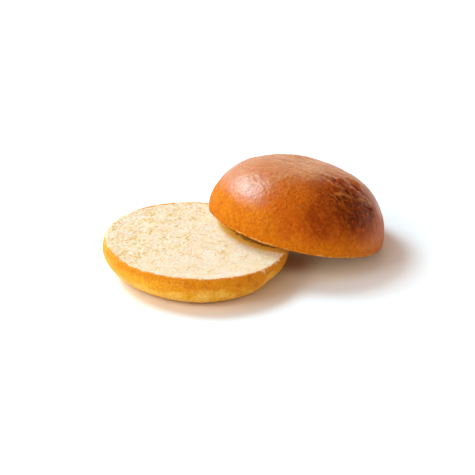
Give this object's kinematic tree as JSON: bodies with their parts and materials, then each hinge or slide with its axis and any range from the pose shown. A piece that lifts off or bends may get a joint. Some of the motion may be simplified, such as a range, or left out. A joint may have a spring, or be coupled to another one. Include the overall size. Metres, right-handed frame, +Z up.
{
  "type": "burger bun",
  "caption": "Sliced burger bun: a flat-based heel lying cut face up, with the domed crown leaning cut face down on its edge.",
  "frame": {"origin": "on the table, on the heel's flat underside and below the middle of its cut face", "axes": "+Z up, out of the heel's cut face; +X from the heel towards the rim of the crown that lies on the table"},
  "size_m": [0.1782, 0.1133, 0.0558],
  "materials": {
    "pale_crust": "matte golden crust round a pale open crumb",
    "brown_crust": "softly shining glazed brown crust round a pale open crumb"
  },
  "bodies": {
    "root": {"heel": "pale_crust", "crown": "brown_crust"}
  },
  "joints": []
}
